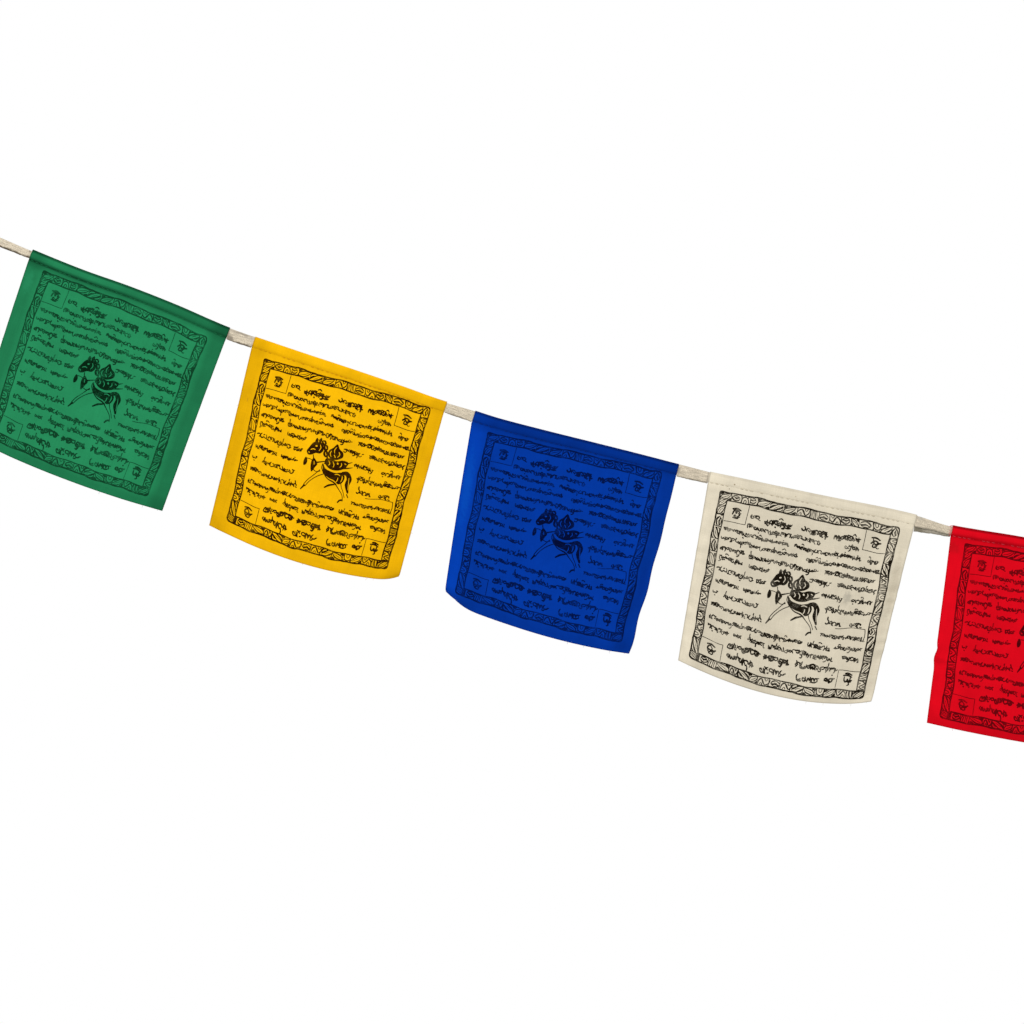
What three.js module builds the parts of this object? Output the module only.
// A string of five prayer flags: printed cotton flags sewn round one folded cotton tape.
// Millimetres. +X runs along the string to the right, +Z is up, and -Y is the printed side.
// The origin is the point where a hook or nail bears inside the upper loop.
import * as THREE from "three";

// Cloth of the flags
const clothThickness = 1;
const depthShare = 0.9; // a flag's depth as a share of its width
const stepsAcross = 15;
const stepsDown = 13;
const edgeCrowding = 0.55; // 0 spaces the steps evenly, 1 crowds them at the edges

// Cotton tape folded lengthwise: its height is that inside the casings
const tapeHeight = 6.6;
const tapeThickness = 1.8;
const tapeClearance = 0.5; // between the tape and the casing round it
const tapeStep = 17;

// Knotted loop at each end of the tape
const seatGap = 0.35; // between tape, knot and loop
const knotLength = 12;
const knotRadius = 6.2;
const knotEndRadius = 4.4;
const knotSides = 12;
const loopLength = 24;
const loopHalfWidth = 7;
const loopLegSpacing = 2.1;
const loopThickness = 3;
const loopDepth = 5;
const loopSteps = 22;

// Half a flattened section as shares of its half height and half thickness, from the bottom up
const flatSection = [
  { down: 1, out: 0.23 },
  { down: 0.72, out: 0.9 },
  { down: 0.3, out: 1 },
  { down: -0.3, out: 1 },
  { down: -0.78, out: 0.8 },
  { down: -1, out: 0.25 },
];

// Centre line of the tape from the upper knot to the lower one, as x and z
const tapeRoute = [
  [34.2, -13.9], [43.2, -17.7], [63.3, -26.3], [102.8, -42.3], [138.6, -55.0], [174.3, -69.1],
  [198.2, -79.6], [211.6, -85.2], [221.3, -88.8], [232.4, -92.6], [269.7, -105.2], [305.5, -117.0],
  [341.2, -129.2], [365.1, -137.8], [381.0, -142.9], [394.9, -147.3], [412.7, -153.0], [448.5, -162.4],
  [484.3, -171.3], [520.0, -180.3], [543.9, -186.5], [558.0, -190.0], [570.7, -193.1], [591.5, -197.4],
  [627.3, -205.0], [663.1, -212.4], [698.8, -219.3], [722.7, -224.7], [737.6, -229.0], [749.5, -232.5],
  [770.3, -236.3], [794.2, -240.1], [818.0, -244.2], [862.7, -251.3], [905.2, -257.5], [918.0, -259.3],
];

// Between two casings the tape is less tightly folded, and right of the white flag its back leaf
// hangs open. One row for each place along X: how far the tape reaches above and below its centre.
const tapeEdges = [
  { x: 213.5, above: 3.3, below: 3.3 },
  { x: 215.4, above: 4.3, below: 4.4 },
  { x: 229.6, above: 4.3, below: 4.4 },
  { x: 231.4, above: 3.3, below: 3.3 },
  { x: 375.6, above: 3.3, below: 3.3 },
  { x: 377.6, above: 3.7, below: 3.6 },
  { x: 392.0, above: 4.2, below: 4.2 },
  { x: 395.4, above: 3.3, below: 3.3 },
  { x: 548.6, above: 3.3, below: 3.3 },
  { x: 550.6, above: 4.6, below: 4.7 },
  { x: 568.8, above: 4.3, below: 4.3 },
  { x: 570.8, above: 3.3, below: 3.3 },
  { x: 725.9, above: 3.3, below: 3.3 },
  { x: 727.8, above: 4.1, below: 7.9 },
  { x: 732.0, above: 3.9, below: 7.0 },
  { x: 738.0, above: 3.6, below: 5.9 },
  { x: 744.0, above: 3.5, below: 5.0 },
  { x: 749.8, above: 3.5, below: 4.3 },
  { x: 751.6, above: 3.3, below: 3.3 },
];

// One row for each flag. from and to are where its casing starts and ends along X. bottomLeft and
// bottomRight are its lower corners as x and z before any curl. A bow swells a side outwards at its
// middle, sag is how far the lower edge drops below the line between its corners, and sagShift
// moves the deepest place to the right. wave is the waviness of the right side. swing and twist
// bring the lower edge, and its right end more than its left, towards the viewer.
const flags = [
  {
    name: "flag_green", color: 0x238a5a, from: 66.0, to: 213.0,
    bottomLeft: [23.0, -163.6], bottomRight: [164.3, -217.9],
    bowLeft: 0.6, bowRight: -0.4, sag: 4.0, sagShift: -0.1, wave: 0, swing: 4, twist: -4,
  },
  {
    name: "flag_yellow", color: 0xfcc206, from: 232.0, to: 375.0,
    bottomLeft: [198.6, -228.6], bottomRight: [339.8, -270.0],
    bowLeft: -0.1, bowRight: -0.2, sag: 7.8, sagShift: 0.1, wave: 0, swing: -4, twist: 3,
  },
  {
    name: "flag_blue", color: 0x0038a8, from: 396.0, to: 548.0,
    bottomLeft: [373.7, -284.6], bottomRight: [511.6, -324.0],
    bowLeft: 0.4, bowRight: 1.0, sag: 4.6, sagShift: 0.15, wave: 0.8, swing: 5, twist: 4,
  },
  {
    name: "flag_white", color: 0xdcd3c0, from: 571.4, to: 725.4,
    bottomLeft: [548.2, -328.9], bottomRight: [692.2, -360.4],
    bowLeft: 0.1, bowRight: -0.3, sag: 10.6, sagShift: 0.14, wave: 0.2, swing: 3, twist: -3,
  },
  {
    name: "flag_red", color: 0xe60018, from: 752.2, to: 904.4,
    bottomLeft: [734.1, -375.9], bottomRight: [886.0, -401.6],
    bowLeft: 0, bowRight: 0.5, sag: 2.4, sagShift: 0, wave: 0.4, swing: -3, twist: 3,
  },
];

// Soft ridges and troughs of the cloth, one row each. start and end are shares of the width and of
// the depth, width is across the fold in millimetres, and height is positive towards the viewer.
const folds = [
  { flag: "flag_green", start: [0.12, 0.1], end: [0.2, 1.1], width: 26, height: 2.4 },
  { flag: "flag_green", start: [0.45, 0.2], end: [0.5, 1.1], width: 34, height: -2.2 },
  { flag: "flag_green", start: [0.86, 0.05], end: [0.8, 1.1], width: 22, height: 2.6 },
  { flag: "flag_yellow", start: [0.02, 0.3], end: [0.16, 1.1], width: 20, height: -2.6 },
  { flag: "flag_yellow", start: [0.5, 0.1], end: [0.42, 1.1], width: 40, height: 3.0 },
  { flag: "flag_yellow", start: [0.98, 0.2], end: [0.9, 1.0], width: 18, height: -2.2 },
  { flag: "flag_blue", start: [0.06, 0.1], end: [0.1, 0.9], width: 18, height: 2.6 },
  { flag: "flag_blue", start: [0.4, 0.2], end: [0.34, 1.1], width: 36, height: -2.4 },
  { flag: "flag_blue", start: [0.94, 0.1], end: [0.88, 1.1], width: 16, height: 2.4 },
  { flag: "flag_white", start: [0.04, 0.2], end: [0.07, 1.1], width: 14, height: 1.8 },
  { flag: "flag_white", start: [0.5, 0.1], end: [0.5, 1.1], width: 46, height: -3.4 },
  { flag: "flag_white", start: [0.92, 0.1], end: [0.93, 0.9], width: 14, height: 2.0 },
  { flag: "flag_red", start: [0.1, 0.2], end: [0.16, 1.1], width: 24, height: 2.4 },
  { flag: "flag_red", start: [0.6, 0.1], end: [0.55, 1.1], width: 38, height: -2.8 },
  { flag: "flag_red", start: [0.02, 0.62], end: [0.3, 0.66], width: 12, height: -1.6 },
];

// Corners that roll away from the flat cloth: where, how far from the corner the roll begins, its
// radius, and whether it rolls away from the viewer (1) or towards the viewer (-1)
const curls = [
  { flag: "flag_blue", corner: [0, 1], reach: 11, radius: 5, side: 1 },
  { flag: "flag_white", corner: [1, 1], reach: 7, radius: 8, side: -1 },
  { flag: "flag_yellow", corner: [1, 1], reach: 7, radius: 4, side: 1 },
  { flag: "flag_red", corner: [1, 1], reach: 10, radius: 8, side: 1 },
];

const insideHalf = {
  height: tapeHeight / 2 + tapeClearance,
  thickness: tapeThickness / 2 + tapeClearance,
};
const casingHalf = {
  height: insideHalf.height + clothThickness,
  thickness: insideHalf.thickness + clothThickness,
};

const tapeCurve = new THREE.CatmullRomCurve3(tapeRoute.map(([x, z]) => new THREE.Vector3(x, 0, z)));

// The tape's centre at a given x, with the direction square to the tape and pointing down.
function onTape(x) {
  let low = 0;
  let high = 1;
  for (let i = 0; i < 40; i++) {
    const middle = (low + high) / 2;
    if (tapeCurve.getPoint(middle).x < x) low = middle;
    else high = middle;
  }
  const along = tapeCurve.getTangent(low);
  return { centre: tapeCurve.getPoint(low), down: new THREE.Vector3(along.z, 0, -along.x) };
}

function crowded(i, steps) {
  const even = i / steps;
  return (1 - edgeCrowding) * even + edgeCrowding * (0.5 - 0.5 * Math.cos(Math.PI * even));
}

const mix = (a, b, share) => a.clone().lerp(b, share);
const corner = ([x, z]) => new THREE.Vector3(x, 0, z);
const hump = (share) => 4 * share * (1 - share);

// A line between two points, pushed sideways by an offset that is zero at its ends.
function bowed(a, b, share, offset) {
  const along = b.clone().sub(a).normalize();
  const aside = new THREE.Vector3(-along.z, 0, along.x);
  return mix(a, b, share).addScaledVector(aside, offset);
}

function foldHeight(flag, across, down) {
  const width = flag.to - flag.from;
  const depth = width * depthShare;
  const here = new THREE.Vector2(across * width, down * depth);
  let height = flag.swing * down * down + flag.twist * (across - 0.5) * down;
  for (const fold of folds.filter((row) => row.flag === flag.name)) {
    const start = new THREE.Vector2(fold.start[0] * width, fold.start[1] * depth);
    const end = new THREE.Vector2(fold.end[0] * width, fold.end[1] * depth);
    const run = end.clone().sub(start);
    const share = THREE.MathUtils.clamp(here.clone().sub(start).dot(run) / run.lengthSq(), 0, 1);
    const distance = here.distanceTo(start.clone().addScaledVector(run, share));
    height += fold.height * Math.exp(-(((2 * distance) / fold.width) ** 2));
  }
  return height * Math.min(1, down * 4);
}

// The middle of the cloth below the casing, from the casing (down 0) to the lower edge (down 1).
function clothPoint(flag, across, down) {
  const hung = (share) => {
    const { centre, down: below } = onTape(flag.from + (flag.to - flag.from) * share);
    return centre.addScaledVector(below, casingHalf.height);
  };
  const [topLeft, topRight] = [hung(0), hung(1)];
  const [bottomLeft, bottomRight] = [corner(flag.bottomLeft), corner(flag.bottomRight)];
  const ripple = flag.wave * Math.sin(down * 7 * Math.PI) * down;
  const left = bowed(topLeft, bottomLeft, down, -flag.bowLeft * hump(down));
  const right = bowed(topRight, bottomRight, down, flag.bowRight * hump(down) + ripple);
  const drop = flag.sag * hump(across) * (1 + flag.sagShift * (2 * across - 1));
  const lower = bowed(bottomLeft, bottomRight, across, -drop);
  const point = mix(hung(across), lower, down).add(mix(left, right, across));
  point.sub(mix(mix(topLeft, topRight, across), mix(bottomLeft, bottomRight, across), down));
  point.y = -foldHeight(flag, across, down);
  for (const curl of curls.filter((row) => row.flag === flag.name)) {
    const tip = curl.corner[0] ? bottomRight : bottomLeft;
    const inwards = mix(topLeft, topRight, 0.5).sub(tip);
    inwards.y = 0;
    inwards.normalize();
    const past = curl.reach - (point.x - tip.x) * inwards.x - (point.z - tip.z) * inwards.z;
    if (past <= 0) continue;
    const turned = past / curl.radius;
    point.addScaledVector(inwards, past - curl.radius * Math.sin(turned));
    point.y += curl.side * curl.radius * (1 - Math.cos(turned));
  }
  return point;
}

function clothNormal(flag, across, down) {
  const small = 0.002;
  const high = Math.max(down - small, 0);
  const low = Math.min(down + small, 1);
  const before = Math.max(across - small, 0);
  const after = Math.min(across + small, 1);
  const alongWidth = clothPoint(flag, after, down).sub(clothPoint(flag, before, down));
  const alongDepth = clothPoint(flag, across, low).sub(clothPoint(flag, across, high));
  return alongDepth.cross(alongWidth).normalize();
}

// One section of a flag, square to the tape: the casing's outer and inner rings, both from their
// lowest point on the viewer's side round to their lowest point behind, then the hanging cloth.
function flagSection(flag, across) {
  const { centre, down: below } = onTape(flag.from + (flag.to - flag.from) * across);
  const behind = [...flatSection].reverse();
  const ring = (half) =>
    [...flatSection.map((p) => [p.down, -p.out]), ...behind.map((p) => [p.down, p.out])].map(
      ([down, out]) => {
        const point = centre.clone().addScaledVector(below, down * half.height);
        point.y += out * half.thickness;
        return point;
      },
    );
  const front = [];
  const back = [];
  for (let i = 1; i <= stepsDown; i++) {
    const down = crowded(i, stepsDown);
    const middle = clothPoint(flag, across, down);
    const normal = clothNormal(flag, across, down);
    front.push(middle.clone().addScaledVector(normal, clothThickness / 2));
    back.push(middle.clone().addScaledVector(normal, -clothThickness / 2));
  }
  return { outer: ring(casingHalf), inner: ring(insideHalf), front, back };
}

// A flag with its casing: the outside is one strip of quads round the section, the hole another.
function flagGeometry(flag) {
  const sections = [];
  for (let i = 0; i <= stepsAcross; i++) sections.push(flagSection(flag, crowded(i, stepsAcross)));
  const outside = sections.map((s) => [...[...s.front].reverse(), ...s.outer, ...s.back]);
  const inside = sections.map((s) => s.inner);
  const positions = [];
  const quad = (a, b, c, d) => {
    for (const p of [a, b, c, a, c, d]) positions.push(p.x, p.y, p.z);
  };
  for (let i = 0; i < stepsAcross; i++) {
    const [near, far] = [outside[i], outside[i + 1]];
    near.forEach((p, j) => {
      const next = (j + 1) % near.length;
      quad(p, far[j], far[next], near[next]);
    });
    const [nearHole, farHole] = [inside[i], inside[i + 1]];
    nearHole.forEach((p, j) => {
      const next = (j + 1) % nearHole.length;
      quad(p, nearHole[next], farHole[next], farHole[j]);
    });
  }
  const cutEnd = ({ outer, inner, front, back }, face) => {
    outer.forEach((p, j) => {
      const next = (j + 1) % outer.length;
      face(p, outer[next], inner[next], inner[j]);
    });
    const fronts = [outer[0], ...front];
    const backs = [outer[outer.length - 1], ...back];
    for (let j = 0; j < front.length; j++) face(fronts[j + 1], fronts[j], backs[j], backs[j + 1]);
  };
  cutEnd(sections[0], (a, b, c, d) => quad(a, b, c, d));
  cutEnd(sections[stepsAcross], (a, b, c, d) => quad(d, c, b, a));
  const geometry = new THREE.BufferGeometry();
  geometry.setAttribute("position", new THREE.Float32BufferAttribute(positions, 3));
  geometry.computeVertexNormals();
  return geometry;
}

function sweep(points, curve, steps) {
  const shape = new THREE.Shape(points);
  return new THREE.ExtrudeGeometry(shape, { steps, extrudePath: curve, bevelEnabled: false });
}

// How far the tape reaches above and below its centre line at a given x.
function tapeReach(x) {
  const after = tapeEdges.findIndex((row) => row.x > x);
  if (after <= 0) return { above: tapeHeight / 2, below: tapeHeight / 2 };
  const [low, high] = [tapeEdges[after - 1], tapeEdges[after]];
  const share = (x - low.x) / (high.x - low.x);
  return {
    above: THREE.MathUtils.lerp(low.above, high.above, share),
    below: THREE.MathUtils.lerp(low.below, high.below, share),
  };
}

// One ring of the tape, square to its line: down its front, then up its back.
function tapeRing(x) {
  const { centre, down } = onTape(x);
  const { above, below } = tapeReach(x);
  const half = flatSection.map((p) => [p.down * (p.down > 0 ? below : above), p.out]);
  return [...[...half].reverse(), ...half.map(([height, out]) => [height, -out])].map(([height, out]) => {
    const point = centre.clone().addScaledVector(down, height);
    point.y -= (out * tapeThickness) / 2;
    return point;
  });
}

function tapeGeometry() {
  const first = tapeRoute[0][0];
  const last = tapeRoute[tapeRoute.length - 1][0];
  const steps = Math.round((last - first) / tapeStep);
  const even = Array.from({ length: steps + 1 }, (_, i) => first + ((last - first) * i) / steps);
  const apart = (x) => tapeEdges.every((row) => Math.abs(row.x - x) > tapeStep / 4);
  const places = [...even.filter(apart), ...tapeEdges.map((row) => row.x)].sort((a, b) => a - b);
  const rings = places.map(tapeRing);
  const positions = [];
  const face = (a, b, c) => {
    for (const p of [a, b, c]) positions.push(p.x, p.y, p.z);
  };
  for (let i = 0; i + 1 < rings.length; i++) {
    rings[i].forEach((p, j) => {
      const next = (j + 1) % rings[i].length;
      face(p, rings[i][next], rings[i + 1][next]);
      face(p, rings[i + 1][next], rings[i + 1][j]);
    });
  }
  const end = rings[rings.length - 1];
  for (let j = 1; j + 1 < end.length; j++) {
    face(rings[0][0], rings[0][j + 1], rings[0][j]);
    face(end[0], end[j], end[j + 1]);
  }
  const geometry = new THREE.BufferGeometry();
  geometry.setAttribute("position", new THREE.Float32BufferAttribute(positions, 3));
  geometry.computeVertexNormals();
  return geometry;
}

// A barrel of two turns round the tape's line, lying along +X from 0 to knotLength.
function knotGeometry() {
  const waist = (knotRadius + knotEndRadius) / 2;
  const profile = [
    [0, 0], [knotEndRadius, 0], [knotRadius, 0.14], [knotRadius, 0.34], [waist, 0.5],
    [knotRadius, 0.66], [knotRadius, 0.86], [knotEndRadius, 1], [0, 1],
  ].map(([radius, share]) => new THREE.Vector2(radius, share * knotLength));
  return new THREE.LatheGeometry(profile, knotSides).rotateZ(-Math.PI / 2);
}

// A loop of tape in the plane of the flags, from the knot's face at x 0 out along +X and back.
function loopGeometry() {
  const outline = [
    [0, loopLegSpacing], [0.12, loopLegSpacing], [0.4, 0.72 * loopHalfWidth], [0.68, loopHalfWidth],
    [0.9, 0.72 * loopHalfWidth], [1, 0],
  ].map(([share, z]) => [share * (loopLength + loopThickness / 2), z]);
  const back = [...outline].reverse().slice(1).map(([x, z]) => [x, -z]);
  const curve = new THREE.CatmullRomCurve3([...outline, ...back].map(([x, z]) => new THREE.Vector3(x, 0, z)));
  const section = new THREE.EllipseCurve(0, 0, loopDepth / 2, loopThickness / 2).getPoints(8).slice(0, 8);
  return sweep(section, curve, loopSteps);
}

const string = new THREE.Group();

function addPiece(name, geometry, color, parent = string) {
  const material = new THREE.MeshStandardMaterial({ color, roughness: 0.9, metalness: 0 });
  const piece = new THREE.Mesh(geometry, material);
  piece.name = name;
  parent.add(piece);
  return piece;
}

for (const flag of flags) addPiece(flag.name, flagGeometry(flag), flag.color);

const cottonCream = 0xe6dccb;
addPiece("tape", tapeGeometry(), cottonCream);

// Each end points away from the tape, and holds its knot and then its loop along its own +X.
function addEnd(side, end, outwards) {
  const group = new THREE.Group();
  group.position.copy(end).addScaledVector(outwards, seatGap);
  group.rotation.y = Math.atan2(-outwards.z, outwards.x);
  string.add(group);
  addPiece("knot_" + side, knotGeometry(), cottonCream, group);
  addPiece("loop_" + side, loopGeometry(), cottonCream, group).position.x = knotLength + seatGap;
}

addEnd("left", tapeCurve.getPoint(0), tapeCurve.getTangent(0).negate());
addEnd("right", tapeCurve.getPoint(1), tapeCurve.getTangent(1));

export default string;
